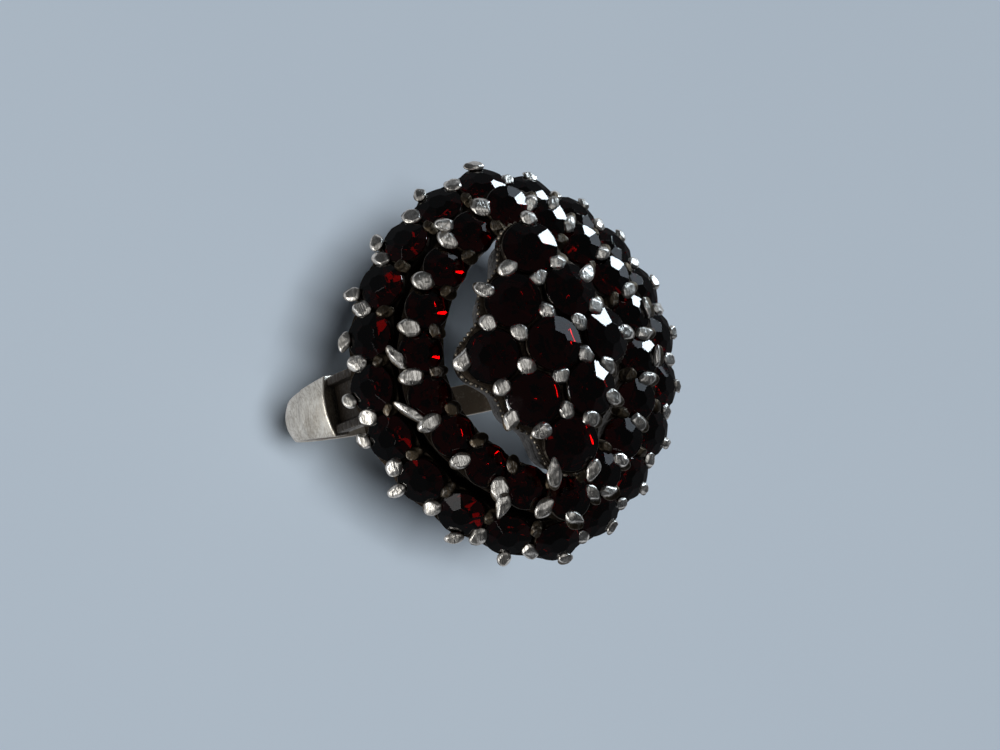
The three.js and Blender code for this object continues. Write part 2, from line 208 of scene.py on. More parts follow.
def top_neighbours(stone):
    others = [other for other in TOP if other is not stone]
    pitch = min((stone.centre - other.centre).length for other in others)
    return [other for other in others if (other.centre - stone.centre).length < TOUCHING * pitch]


def top_triangles():
    """Each three stones of the lozenge that touch one another."""
    return [
        three for three in combinations(TOP, 3)
        if all(b in top_neighbours(a) for a, b in combinations(three, 2))
    ]


def top_edge():
    """The lozenge's edge stones, counter-clockwise."""
    edge = [stone for stone in TOP if len(top_neighbours(stone)) < ENCLOSED]
    return sorted(edge, key=lambda stone: atan2(stone.centre.y, stone.centre.x))


# ---- meshes ----

SMOOTH_ANGLE = radians(40)
EDGE_ANGLE = radians(35)
SILVER_PIECES = []
GARNET_PIECES = []


class Shape:
    """Closed bodies in millimetres, with how bright the metal is at each vertex: how worn it is, and
    in places a painted shade.
    """

    def __init__(self):
        self.points = []
        self.faces = []
        self.wear_and_shade = []

    def loft(self, rings, wear_and_shade=0, ring_wear_and_shade=None, point_wear_and_shade=None, closed=False):
        """Skins rings of equal size, with a cap at each end unless the last ring joins the first.
        The wear, with any painted shade, is one number, or a list for the rings, or a list for the
        points of every ring."""
        size = len(rings[0])
        first = len(self.points)
        self.points.extend(point for ring in rings for point in ring)
        if ring_wear_and_shade:
            self.wear_and_shade.extend(wear_shade_value for wear_shade_value in ring_wear_and_shade for _ in range(size))
        else:
            self.wear_and_shade.extend((point_wear_and_shade or [wear_and_shade] * size) * len(rings))
        spans = len(rings) if closed else len(rings) - 1
        for i in range(spans):
            here = first + i * size
            there = first + (i + 1) % len(rings) * size
            for j in range(size):
                after = (j + 1) % size
                self.faces.append((here + j, here + after, there + after, there + j))
        if not closed:
            last = first + (len(rings) - 1) * size
            self.faces.append(tuple(first + j for j in reversed(range(size))))
            self.faces.append(tuple(last + j for j in range(size)))


def link_object(name, mesh):
    piece = bpy.data.objects.new(name, mesh)
    bpy.context.scene.collection.objects.link(piece)
    return piece


def make_object(name, shape):
    mesh = bpy.data.meshes.new(name)
    mesh.from_pydata([point * MM for point in shape.points], [], shape.faces)
    made = bmesh.new()
    made.from_mesh(mesh)
    bmesh.ops.recalc_face_normals(made, faces=made.faces)
    made.to_mesh(mesh)
    made.free()
    # The wear attribute holds real wear and, on some pieces, painted shade: low values make the
    # metal dark.
    wear_and_shade = mesh.attributes.new("wear_and_shade", "FLOAT", "POINT")
    wear_and_shade.data.foreach_set("value", shape.wear_and_shade)
    return link_object(name, mesh)


def soften(piece, angle=SMOOTH_ANGLE):
    """Smooth shading, with creases only where the surface turns sharply."""
    piece.data.shade_smooth()
    piece.data.set_sharp_from_angle(angle=angle)


def apply_modifiers(piece):
    graph = bpy.context.evaluated_depsgraph_get()
    mesh = bpy.data.meshes.new_from_object(piece.evaluated_get(graph))
    piece.modifiers.clear()
    piece.data = mesh


def round_edges(piece, width, segments=2, angle=EDGE_ANGLE):
    bevel = piece.modifiers.new("edges", "BEVEL")
    bevel.width = width * MM
    bevel.segments = segments
    bevel.limit_method = "ANGLE"
    bevel.angle_limit = angle
    apply_modifiers(piece)


def carve(piece, cutter_shape):
    """Takes the cutter's volume out of the piece."""
    cutter = make_object(piece.name + "_cutter", cutter_shape)
    boolean = piece.modifiers.new("seats", "BOOLEAN")
    boolean.operation = "DIFFERENCE"
    boolean.solver = "MANIFOLD"
    boolean.object = cutter
    apply_modifiers(piece)
    bpy.data.objects.remove(cutter)


def finish_piece(piece, material, slot, nodes=()):
    """Gives a piece its material, files it with the garnet or the silver pieces by its slot, puts it
    under the root body, and hides the CAD nodes it stands for.
    """
    family = GARNET_PIECES if slot == "garnet" else SILVER_PIECES
    family.append(piece)
    piece.data.materials.clear()
    piece.data.materials.append(material)
    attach(piece, "root")
    if nodes:
        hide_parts(*nodes)


def finish_dark(piece, slot, nodes=(), edge=0):
    """Finishes a piece of tarnished silver, painted darker still as shade, with its edges rounded by
    so much.
    """
    if edge:
        round_edges(piece, edge)
    soften(piece)
    finish_piece(piece, TARNISH_AND_SHADE_SILVER, slot, nodes)


def make_wall(name, node, rings, wear_and_shade, edge):
    """A closed wall of tarnished silver, painted darker as shade, that stands for a CAD node."""
    shape = Shape()
    shape.loft(rings, wear_and_shade, closed=True)
    finish_dark(make_object(name, shape), "dark_silver", [node], edge)


# ---- materials ----

NOISE_ROUGHNESS = 0.55
NOISE_MIDDLE = 0.5
PATCHES_PER_MM = 1.1
PATCH_DETAIL = 4
PATCH_STRENGTH = 1.2
SPECKS_PER_MM = 9
SPECK_DETAIL = 3
SPECK_LEVEL = 0.45
SPECK_STRENGTH = 0.6
DENTS_PER_MM = 2.4
COVERED_BELOW = 1.1  # metal whose wear value is under a tenth takes the full dark colour: tarnish, and painted shade where the value is kept low for shade
SCRATCH_DIRT = 0.3
SCRATCH_ROUGHNESS = 0.08
# Each set of scratches: how it is turned, its density across and along the lines, and line width
SCRATCHES = [
    ((0.3, 0.5, 0.6), 6, 0.7, 0.035),
    ((1.1, 0.2, -0.7), 7, 0.8, 0.03),
    ((-0.4, 0.9, 1.9), 5, 0.6, 0.03),
]
GARNET_TINT = (0.7, 0.05, 0.07)
GARNET_ROUGHNESS = 0.015
GARNET_IOR = 1.75
GARNET_SPECULAR = 0.25
GARNET_DEPTHS = (0.78, 0.0, 0.05)
GARNET_DENSITY = 2900  # how strongly a metre of stone absorbs light
FLOOR_MOTTLES_PER_MM = 0.02
FLOOR_DETAIL = 3
FLOOR_DEEPER = (0.58, 0.69, 0.83)
FLOOR_PALER = (0.64, 0.75, 0.88)
FLOOR_ROUGHNESS = 0.9


def new_material(name):
    material = bpy.data.materials.new(name)
    material.use_nodes = True
    tree = material.node_tree
    return material, tree, tree.nodes["Principled BSDF"]


def set_inputs(node, values):
    for name, value in values.items():
        node.inputs[name].default_value = value


def add_noise(tree, per_mm, detail=1, turn=(0, 0, 0), stretch=(1, 1, 1)):
    """A noise texture over the piece, of so many features in a millimetre."""
    place = tree.nodes.new("ShaderNodeTexCoord")
    mapping = tree.nodes.new("ShaderNodeMapping")
    texture = tree.nodes.new("ShaderNodeTexNoise")
    set_inputs(mapping, {"Rotation": turn, "Scale": stretch})
    set_inputs(texture, {"Scale": per_mm / MM, "Detail": detail, "Roughness": NOISE_ROUGHNESS})
    tree.links.new(place.outputs["Object"], mapping.inputs["Vector"])
    tree.links.new(mapping.outputs["Vector"], texture.inputs["Vector"])
    return texture.outputs["Fac"]


def compute(tree, operation, first, second=0, clamp=False):
    node = tree.nodes.new("ShaderNodeMath")
    node.operation = operation
    node.use_clamp = clamp
    for socket, value in zip(node.inputs, (first, second)):
        if isinstance(value, (int, float)):
            socket.default_value = value
        else:
            tree.links.new(value, socket)
    return node.outputs["Value"]


def mix_colours(tree, factor, first, second):
    node = tree.nodes.new("ShaderNodeMix")
    node.data_type = "RGBA"
    tree.links.new(factor, node.inputs["Factor"])
    set_inputs(node, {"A": (*first, 1), "B": (*second, 1)})
    return node.outputs["Result"]


def scratch_lines(tree):
    """Fine straight scratches: 1 on a line and 0 off it."""
    lines = 0
    for turn, across, along, width in SCRATCHES:
        texture = add_noise(tree, 1, turn=turn, stretch=(across, along, along))
        ridge = compute(tree, "ABSOLUTE", compute(tree, "SUBTRACT", texture, NOISE_MIDDLE))
        line = compute(tree, "SUBTRACT", 1, compute(tree, "DIVIDE", ridge, width), clamp=True)
        lines = compute(tree, "MAXIMUM", lines, line)
    return lines


def silver_stain_and_shade(tree, lines):
    """How dark the metal is, from tarnish and painted shade: 0 where it is worn bright, 1 in
    recesses and where shade is painted, more along scratches.
    """
    wear_shade_value = tree.nodes.new("ShaderNodeAttribute")
    wear_shade_value.attribute_name = "wear_and_shade"
    patches = add_noise(tree, PATCHES_PER_MM, PATCH_DETAIL)
    shift = compute(tree, "SUBTRACT", patches, NOISE_MIDDLE)
    shift = compute(tree, "MULTIPLY", shift, PATCH_STRENGTH)
    covered = compute(tree, "SUBTRACT", COVERED_BELOW, wear_shade_value.outputs["Fac"])
    dirt = compute(tree, "SUBTRACT", covered, shift, clamp=True)
    specks = compute(tree, "SUBTRACT", add_noise(tree, SPECKS_PER_MM, SPECK_DETAIL), SPECK_LEVEL)
    speckled = compute(tree, "MULTIPLY", specks, SPECK_STRENGTH)
    inked = compute(tree, "ADD", speckled, compute(tree, "MULTIPLY", lines, SCRATCH_DIRT))
    return compute(tree, "ADD", dirt, inked, clamp=True)


def aged_silver(name, bright, tarnish, roughness, relief, hammered):
    """Silver that is bright where it is worn, brown in the recesses and where its wear attribute
    paints shade, and finely scratched.
    """
    material, tree, shader = new_material(name)
    lines = scratch_lines(tree)
    stain_and_shade = silver_stain_and_shade(tree, lines)
    tree.links.new(mix_colours(tree, stain_and_shade, bright, tarnish), shader.inputs["Base Color"])
    set_inputs(shader, {"Metallic": 1})
    smoothest, roughest = roughness
    dull = compute(tree, "MULTIPLY", stain_and_shade, roughest - smoothest)
    scuffed = compute(tree, "ADD", dull, compute(tree, "MULTIPLY", lines, SCRATCH_ROUGHNESS))
    tree.links.new(compute(tree, "ADD", scuffed, smoothest), shader.inputs["Roughness"])
    dents = compute(tree, "MULTIPLY", add_noise(tree, DENTS_PER_MM), hammered)
    height = compute(tree, "SUBTRACT", dents, compute(tree, "MULTIPLY", lines, relief))
    bump = tree.nodes.new("ShaderNodeBump")
    set_inputs(bump, {"Strength": 1, "Distance": MM})
    tree.links.new(height, bump.inputs["Height"])
    tree.links.new(bump.outputs["Normal"], shader.inputs["Normal"])
    return material


def garnet_glass():
    """Deep red stone: clear, strongly refracting, and dark through its own thickness."""
    material, tree, shader = new_material("garnet_glass")
    set_inputs(shader, {
        "Base Color": (*GARNET_TINT, 1), "Roughness": GARNET_ROUGHNESS, "IOR": GARNET_IOR,
        "Specular IOR Level": GARNET_SPECULAR, "Transmission Weight": 1,
    })
    depth = tree.nodes.new("ShaderNodeVolumeAbsorption")
    set_inputs(depth, {"Color": (*GARNET_DEPTHS, 1), "Density": GARNET_DENSITY})
    tree.links.new(depth.outputs["Volume"], tree.nodes["Material Output"].inputs["Volume"])
    return material


def pale_floor():
    """A matt pale blue, very softly mottled."""
    material, tree, shader = new_material("pale_floor")
    mottle = add_noise(tree, FLOOR_MOTTLES_PER_MM, FLOOR_DETAIL)
    tree.links.new(mix_colours(tree, mottle, FLOOR_DEEPER, FLOOR_PALER), shader.inputs["Base Color"])
    set_inputs(shader, {"Roughness": FLOOR_ROUGHNESS})
    return material


GARNET = garnet_glass()
BRIGHT_SILVER = aged_silver(
    "bright_silver", bright=(0.88, 0.86, 0.79), tarnish=(0.16, 0.13, 0.10),
    roughness=(0.30, 0.45), relief=0.002, hammered=0.02,
)
CLAW_SILVER = aged_silver(
    "claw_silver", bright=(0.88, 0.87, 0.84), tarnish=(0.07, 0.055, 0.038),
    roughness=(0.26, 0.42), relief=0.004, hammered=0.05,
)
# Silver for the parts under and between the stones: tarnish, made darker than the claws' silver as
# painted shade.
TARNISH_AND_SHADE_SILVER = aged_silver(
    "dark_silver", bright=(0.36, 0.32, 0.26), tarnish=(0.022, 0.017, 0.013),
    roughness=(0.30, 0.5), relief=0.004, hammered=0.08,
)


# ---- garnets ----

GARNET_SEED = 11
FACETS = 8
FACET_TURN = radians(9)  # turned so that the low light on the left shines back out of most stones
FACET_TURN_SPREAD = radians(6)
FACET_EDGE = 0.012  # worn edge between two facets
FACET_EDGE_ANGLE = radians(12)
CUT_WOBBLE = radians(1.5)  # how far a hand-cut facet lies off its true angle
CUT_MERGE = 1e-5
CROWN_ANGLE = radians(24)
CROWN_HEIGHT = 0.29  # this and the girdle's thickness are shares of its radius
GIRDLE_THICKNESS = 0.03
GIRDLE_SIDES = 48


def slice_off(cut, point, normal):
    """Cuts away what lies beyond a plane, and closes the cut with one face."""
    everything = cut.verts[:] + cut.edges[:] + cut.faces[:]
    result = bmesh.ops.bisect_plane(
        cut, geom=everything, dist=CUT_MERGE, plane_co=point, plane_no=normal, clear_outer=True
    )
    rim = [item for item in result["geom_cut"] if isinstance(item, bmesh.types.BMEdge)]
    if rim:
        bmesh.ops.contextual_create(cut, geom=rim)


def facet_planes(radius, chance):
    """A point and a normal for the table and for each facet over and under the girdle."""
    turn = chance.gauss(FACET_TURN, FACET_TURN_SPREAD)
    yield Vector((0, 0, CROWN_HEIGHT * radius)), UP
    half = GIRDLE_THICKNESS * radius / 2
    under_angle = -atan(PAVILION_DEPTH)
    for angle, height in ((CROWN_ANGLE, half), (under_angle, -half)):
        for place in angles(FACETS):
            around = turn + place + chance.gauss(0, CUT_WOBBLE)
            tilt = angle + chance.gauss(0, CUT_WOBBLE) / 2
            outward = spoke(around)
            normal = outward * abs(sin(tilt)) + UP * copysign(cos(tilt), angle)
            yield outward * radius + UP * height, normal


def cut_garnet(stone, chance):
    """Cuts a stone out of a cylinder, one facet at a time."""
    radius = stone.radius
    cut = bmesh.new()
    bmesh.ops.create_cone(
        cut, cap_ends=True, segments=GIRDLE_SIDES, radius1=radius, radius2=radius, depth=2 * radius
    )
    for point, normal in facet_planes(radius, chance):
        slice_off(cut, point, normal)
    bmesh.ops.recalc_face_normals(cut, faces=cut.faces)
    cut.transform(Matrix.Scale(MM, 4) @ stone.place())
    mesh = bpy.data.meshes.new(stone.node + "_cut")
    cut.to_mesh(mesh)
    cut.free()
    piece = link_object(stone.node + "_cut", mesh)
    round_edges(piece, FACET_EDGE, segments=1, angle=FACET_EDGE_ANGLE)
    finish_piece(piece, GARNET, "garnet", [stone.node])


def make_garnets():
    chance = random.Random(GARNET_SEED)
    for stone in OUTER + INNER + TOP:
        cut_garnet(stone, chance)


# ---- claws ----

# A claw is a thin stem that ends in a nugget, hammered flat over the stones
CLAW_SMOOTH_ANGLE = radians(60)
CLAW_SIDES = 28
CLAW_RINGS = 18
CLAW_ROOT = -0.85
STEM_MIDDLE_LEAN = 0.3  # share of the root's lean that the middle of the stem has
WIDEST_STEM = 0.9  # a stem's radius, at most, as a share of its nugget's
ROOT_LEAN = 0.4  # how far the stem's root lies under its stone's plate
ROOT_SLIDE_SHARE = 0.3  # share of a claw's slide that its root doesn't follow
LONE_OUT = 0.26  # a lone claw stands this far off its stone's girdle
NUGGET_MIDDLE = 0.13
NUGGET_HALF_HEIGHT = 0.27
NUGGET_CREASE = 0.9  # how fully a hammered flat takes away the metal beyond it
NUGGET_SKEW = 0.1
NUGGET_LEANS = (-0.8, 0.2)  # heights on its unit sphere between which it takes on its lean
NUGGET_WEAR_AND_SHADE = (-0.3, 0.45)  # heights between which its dark underside, tarnish with a painted contact shade at the rim, gives way to worn metal
CLAW_DENT = 0.02
CLAW_DENTS_PER_MM = 3.5
TIP_NARROWING = 0.8
TIP_LENGTHENING = 0.5
TIP_LOWERING = 0.5
TOP_FLAT_TILT = (0, 0.25)
TOP_FLAT_AROUND = (0, 6)  # in radians, as the tilts are
TOP_FLAT_DISTANCE = (0.55, 0.68)
SIDE_FLATS = (3, 4, 5)
SIDE_FLAT_SWAY = 0.3
SIDE_FLAT_TILT = (0.6, 1.3)
SIDE_FLAT_DISTANCE = (0.74, 0.92)
CLAW_REACH = 0.17
FAR_REACH = 0.42  # reach on the right side, where the claws are pressed further in
FAR_SIZE = 0.83
SHADED_REACH = 0.3

# The form of a claw's nugget. point draws one end out to a tip, turn swings it round, its brightness
# is how worn it is on top, and a painted shade for the claws inside the notches, slide is how far it
# stands along the row from its place, and reach is how far it leans over its stones. A style is a
# claw with ranges to draw from among its measures.
Claw = namedtuple(
    "Claw", "width length point turn brightness slide reach", defaults=(0, 0, 1, 0, CLAW_REACH)
)

# The claws of a closed row: styles for those outside its notches and for those inside them, whose
# dark colour is painted shade, and a function that gives the one outside stone k, if there is one
RowClaws = namedtuple("RowClaws", "notch dull lone")


def drawn(style, chance):
    """A claw drawn from a style."""
    return Claw(*(
        chance.uniform(*measure) if isinstance(measure, tuple) else measure for measure in style
    ))


def hammered_flats(chance):
    """The planes that flatten a nugget, each a normal and a distance on the unit sphere."""
    normal = leaning(chance.uniform(*TOP_FLAT_TILT), chance.uniform(*TOP_FLAT_AROUND))
    flats = [(normal, chance.uniform(*TOP_FLAT_DISTANCE))]
    start = chance.uniform(0, tau)
    for place in angles(chance.choice(SIDE_FLATS)):
        around = start + place + chance.uniform(-SIDE_FLAT_SWAY, SIDE_FLAT_SWAY)
        normal = leaning(chance.uniform(*SIDE_FLAT_TILT), around)
        flats.append((normal, chance.uniform(*SIDE_FLAT_DISTANCE)))
    return flats


def nugget_point(unit, flats, claw, skew):
    """A point of the nugget's surface for a direction on the unit sphere."""
    for normal, distance in flats:
        beyond = unit.dot(normal) - distance
        if beyond > 0:
            unit = unit - normal * beyond * NUGGET_CREASE
    rear = max(-unit.y, 0)
    rear_length = claw.length * (1 + TIP_LENGTHENING * claw.point)
    x = unit.x * claw.width * (1 - claw.point * rear * TIP_NARROWING) + skew * unit.y
    y = unit.y * (claw.length if unit.y > 0 else rear_length)
    z = unit.z * NUGGET_HALF_HEIGHT * (1 - claw.point * rear * TIP_LOWERING)
    return Vector((x, y, z))


def stem_rings(place, claw, radius):
    """The stem's rings below the nugget, from its root under the plate."""
    root = Vector((-claw.slide * ROOT_SLIDE_SHARE, ROOT_LEAN, 0))
    rings = []
    for lean, height in ((1, CLAW_ROOT), (STEM_MIDDLE_LEAN, CLAW_ROOT / 2)):
        middle = root * lean + UP * height
        rings.append([place @ (middle + spoke(a) * radius) for a in angles(CLAW_SIDES)])
    return rings


def add_claw(shape, place, claw, chance):
    """A claw at place, a matrix whose Z is the stone's axis and whose Y is the way it leans."""
    flats = hammered_flats(chance)
    skew = chance.uniform(-NUGGET_SKEW, NUGGET_SKEW)
    seed = Vector([chance.uniform(0, NOISE_SPAN) for _ in range(3)])
    turned = Matrix.Rotation(claw.turn, 4, "Z")
    stem = min(CLAW_STEM, claw.width * WIDEST_STEM)
    rings = stem_rings(place, claw, stem)
    wear_and_shade = [0] * len(rings)
    lowest = -acos(stem / claw.width)
    for k in range(CLAW_RINGS):
        tilt = lowest + (pi / 2 - lowest) * k / CLAW_RINGS
        lean = claw.reach * smooth_step(*NUGGET_LEANS, sin(tilt))
        ring = []
        for around in angles(CLAW_SIDES):
            unit = sphere_point(around, tilt)
            local = turned @ nugget_point(unit, flats, claw, skew)
            local += unit * noise.noise(local * CLAW_DENTS_PER_MM + seed) * CLAW_DENT
            ring.append(place @ (local + Vector((0, lean, NUGGET_MIDDLE))))
        rings.append(ring)
        # Bright on top where worn, dark below: tarnish, with painted shade round the nugget's rim.
        wear_and_shade.append(claw.brightness * smooth_step(*NUGGET_WEAR_AND_SHADE, sin(tilt)))
    shape.loft(rings, ring_wear_and_shade=wear_and_shade)


def claw_place(point, axis, towards):
    """The matrix of a claw that stands at point along axis and leans towards a direction."""
    forward = (towards - axis * towards.dot(axis)).normalized()
    return basis(forward.cross(axis), forward, axis, point)


def lone_place(stone, out, claw):
    """The matrix of a claw that stands outside one stone."""
    spot = stone.centre + out * (stone.radius + LONE_OUT) + stone.axis.cross(out) * claw.slide
    return claw_place(spot, stone.axis, -out)


def reach_towards(out):
    return FAR_REACH if out.x > 0 else CLAW_REACH


def pressed(claw, out):
    """A row's claw as its side of the ring has it: smaller and leaning further on the right."""
    size = FAR_SIZE if out.x > 0 else 1
    reach = reach_towards(out)
    return claw._replace(width=claw.width * size, length=claw.length * size, reach=reach)


def row_claws(stones, claws, chance):
    """The claws of a closed row: outside each notch, inside each notch, and outside some stones."""
    shape = Shape()
    for k, stone in enumerate(stones):
        middle, axis, out = row_notch(stones, k)
        outside = claw_place(middle + out * NOTCH_OUT, axis, -out)
        add_claw(shape, outside, pressed(drawn(claws.notch, chance), out), chance)
        inside = claw_place(middle - out * NOTCH_OUT, axis, out)
        add_claw(shape, inside, drawn(claws.dull, chance), chance)
        lone = claws.lone(k, chance)
        if lone:
            add_claw(shape, lone_place(stone, row_out(stones, k), lone), pressed(lone, out), chance)
    return shape


TOP_MIDDLE_CLAW = Claw((0.38, 0.43), (0.41, 0.47), turn=(0, 3), reach=0)
TOP_NOTCH_CLAW = Claw((0.38, 0.44), (0.42, 0.48), point=(0, 0.3), turn=(-0.8, 0.8))
TOP_LONE_CLAW = Claw(0.38, 0.45, point=0.3, turn=(-0.6, 0.6))
# Lone claws of the lozenge's edge stones that differ from the rest
TOP_LONE = {
    "garnet_top_01": [Claw(0.34, 0.42, turn=1.2, slide=-0.3)],
    "garnet_top_04": [Claw(0.42, 0.44, 1, -2)],
    "garnet_top_09": [
        Claw(0.37, 0.6, 0.6, 2.85, slide=-1.05, reach=0.35),
        Claw(0.34, 0.48, 0.4, -0.5, slide=0.8, reach=0.2),
    ],
}


def top_claws(chance):
    """The lozenge's claws: between each three stones, in the edge's notches, and outside them."""
    shape = Shape()
    for three in top_triangles():
        middle = sum((stone.centre for stone in three), Vector()) / len(three)
        axis = sum((stone.axis for stone in three), Vector()).normalized()
        add_claw(shape, claw_place(middle, axis, AHEAD), drawn(TOP_MIDDLE_CLAW, chance), chance)
    edge = top_edge()
    for k, stone in enumerate(edge):
        middle, axis, out = row_notch(edge, k)
        claw = drawn(TOP_NOTCH_CLAW, chance)._replace(reach=reach_towards(out))
        add_claw(shape, claw_place(middle + out * NOTCH_OUT, axis, -out), claw, chance)
        out = row_out(edge, k)
        plain = drawn(TOP_LONE_CLAW, chance)._replace(reach=reach_towards(out))
        for claw in TOP_LONE.get(stone.node, [plain]):
            add_claw(shape, lone_place(stone, out, claw), claw, chance)
    return shape


OUTER_LONE_CLAW = Claw((0.3, 0.38), (0.4, 0.5), 0.1, (-1.4, 1.4), brightness=0.9, slide=(-0.2, 0.2))
# Slides of the lone claws that the photo shows clearly, by the stone's place in the row
OUTER_SLIDES = {
    1: 0.2, 2: 0.7, 3: 0.75, 4: 0.3, 5: 0.35, 6: -0.45, 7: -0.4, 8: 0.4, 9: 0.25, 10: 0.35, 11: 0.3,
}
# Lone claws of the inner row, in the same way
INNER_LONE = {
    1: Claw(0.34, 0.44, 0.2, 0.9, slide=0.75),
    4: Claw(0.27, 0.64, 0.3, -0.85, slide=0.25),
    5: Claw(0.2, 0.85, 0.2, -0.85, slide=0.4),
    8: Claw(0.36, 0.52, 0.7, 0, slide=-0.75),
    9: Claw(0.38, 0.5, 0.6, 0.9),
    10: Claw(0.3, 0.5, 0.7, 1.1, slide=-0.4),
    13: Claw(0.24, 0.62, 0.2, 1.4),
    14: Claw(0.24, 0.6, 0.2, 1.4),
    17: Claw(0.34, 0.44, 0.2, 0.4),
}


def outer_lone_claw(k, chance):
    claw = drawn(OUTER_LONE_CLAW, chance)
    return claw._replace(slide=OUTER_SLIDES.get(k, claw.slide))


def inner_lone_claw(k, _):
    return INNER_LONE.get(k)


# The claws inside the notches lie in the shade of the stones beside them: their low brightness
# paints that shade.
OUTER_CLAWS = RowClaws(
    notch=Claw((0.38, 0.45), (0.45, 0.54), point=(0, 0.2), turn=(-0.5, 0.5)),
    dull=Claw((0.27, 0.31), (0.3, 0.36), turn=(0, 3), brightness=0.12, reach=SHADED_REACH),
    lone=outer_lone_claw,
)
INNER_CLAWS = RowClaws(
    notch=Claw((0.4, 0.46), (0.48, 0.58), point=(0, 0.25), turn=(-0.5, 0.5)),
    dull=Claw((0.28, 0.33), (0.34, 0.4), turn=(0, 3), brightness=0.14, reach=SHADED_REACH),
    lone=inner_lone_claw,
)


# ---- cups and plates ----

PLATE_EDGE = 0.05
OUTER_SEED = 21
INNER_SEED = 8
ROW_STEPS = 12
CUP_SIDES = 40
CUP_WALL = 0.055
CUP_FOOT = -0.45
CUP_WEAR = 0.15
# The cup's section, from the inside of its foot round to its lip: out and up from the girdle, wear
CUP_SECTION = (
    (-0.3, CUP_FOOT, 0), (CUP_WALL, CUP_FOOT, 0), (CUP_WALL, -0.06, CUP_WEAR),
    (CUP_WALL / 2, -0.02, CUP_WEAR), (0, -0.06, CUP_WEAR), (-0.12, -0.12, 0),
)
CUP_WAVES = 1.5
CUP_WAVE_HEIGHT = 0.04
SEAT_GAP = 0.02  # between a stone's pavilion and its seat
SEAT_MOUTH = 0.25  # how far the cut above a seat opens beyond the girdle
SEAT_MOUTH_TOP = 0.3
SEAT_MOUTH_RISE = 0.15  # the mouth starts to narrow this far above the plate
SEAT_DRAW_IN = 0.25  # what a seat loses in radius for each millimetre from the girdle to the plate
SEAT_NECK = 0.3  # radius below which a seat runs to a blunt point


def add_cup(shape, stone, chance):
    """The thin upright wall that hugs a stone's girdle."""
    place = stone.place()
    seed = Vector((chance.uniform(0, NOISE_SPAN), chance.uniform(0, NOISE_SPAN), 0))
    rings = []
    for around in angles(CUP_SIDES):
        outward = spoke(around)
        wave = noise.noise(outward * CUP_WAVES + seed) * CUP_WAVE_HEIGHT
        rings.append([
            place @ (outward * (stone.radius + out) + UP * (up + (wave if up > CUP_FOOT else 0)))
            for out, up, _ in CUP_SECTION
        ])
    shape.loft(rings, point_wear_and_shade=[wear_shade_value for _, _, wear_shade_value in CUP_SECTION], closed=True)


def cups(stones, chance):
    shape = Shape()
    for stone in stones:
        add_cup(shape, stone, chance)
    return shape


def seat_cutter(stones):
    """What is cut from a plate for each stone: a mouth above the girdle and a cone below it."""
    shape = Shape()
    for stone in stones:
        radius = stone.radius
        section = [
            (radius + SEAT_MOUTH, SEAT_MOUTH_TOP),
            (radius + SEAT_MOUTH, PLATE_TOP + SEAT_MOUTH_RISE),
            (radius + SEAT_GAP + SEAT_DRAW_IN * PLATE_TOP, PLATE_TOP),
            (SEAT_NECK + SEAT_GAP, -PAVILION_DEPTH * (radius - SEAT_NECK)),
            (SEAT_GAP, -PAVILION_DEPTH * radius - SEAT_GAP),
        ]
        place = stone.place()
        shape.loft([[place @ spoke(a, r, z) for a in angles(CUP_SIDES)] for r, z in section])
    return shape


class Row:
    """A closed row's centre line, and points set off from it as the CAD frame sets them."""

    def __init__(self, stones):
        self.stones = stones
        self.line = closed_curve([stone.centre for stone in stones], ROW_STEPS)
        self.half_width = max(point.x for point in self.line)
        self.half_length = max(point.y for point in self.line)
        self.tilt = sum(acos(stone.axis.z) for stone in stones) / len(stones)

    def grown(self, point, out, up, level=None):
        """A point moved outward and up, from its own height or from a level."""
        x = point.x * (self.half_width + out) / self.half_width
        y = point.y * (self.half_length + out) / self.half_length
        return Vector((x, y, (point.z if level is None else level) + up))

    def untilted(self, lean, rise):
        """How far out and up a point lies, from its place across and along the stones' axis."""
        out = lean * cos(self.tilt) + rise * sin(self.tilt)
        up = rise * cos(self.tilt) - lean * sin(self.tilt)
        return out, up


OUTER_ROW = Row(OUTER)
INNER_ROW = Row(INNER)


def row_plate(row):
    """A closed strip under a row, that draws in a little at the notches between the stones."""
    radius = row.stones[0].radius
    bottom = -PAVILION_DEPTH * radius - PLATE_FLOOR
    shape = Shape()
    rings = []
    for k, point in enumerate(row.line):
        along = k % ROW_STEPS / ROW_STEPS
        to_notch = 1 - abs(1 - 2 * along)
        half = radius + PLATE_OUTER + (NOTCH_OUT + CLAW_STEM - radius - PLATE_OUTER) * to_notch**2
        corners = ((half, PLATE_TOP), (-half, PLATE_TOP), (-half, bottom), (half, bottom))
        rings.append([row.grown(point, *row.untilted(lean, rise)) for lean, rise in corners])
    shape.loft(rings, closed=True)
    return shape


def make_setting(prefix, node, stones, plate_shape, cup_shape, claw_shape):
    """A tier's plate, with a seat carved for each stone, its cups and its claws."""
    plate = make_object(prefix + "_plate", plate_shape)
    carve(plate, seat_cutter(stones))
    finish_dark(plate, "worn_silver", [node], PLATE_EDGE)
    finish_dark(make_object(prefix + "_cups", cup_shape), "worn_silver")
    claws = make_object(prefix + "_claws", claw_shape)
    soften(claws, CLAW_SMOOTH_ANGLE)
    finish_piece(claws, CLAW_SILVER, "worn_silver")


def make_row(prefix, node, row, claws, seed):
    chance = random.Random(seed)
    cup_shape = cups(row.stones, chance)
    claw_shape = row_claws(row.stones, claws, chance)
    make_setting(prefix, node, row.stones, row_plate(row), cup_shape, claw_shape)


# ---- lozenge ----

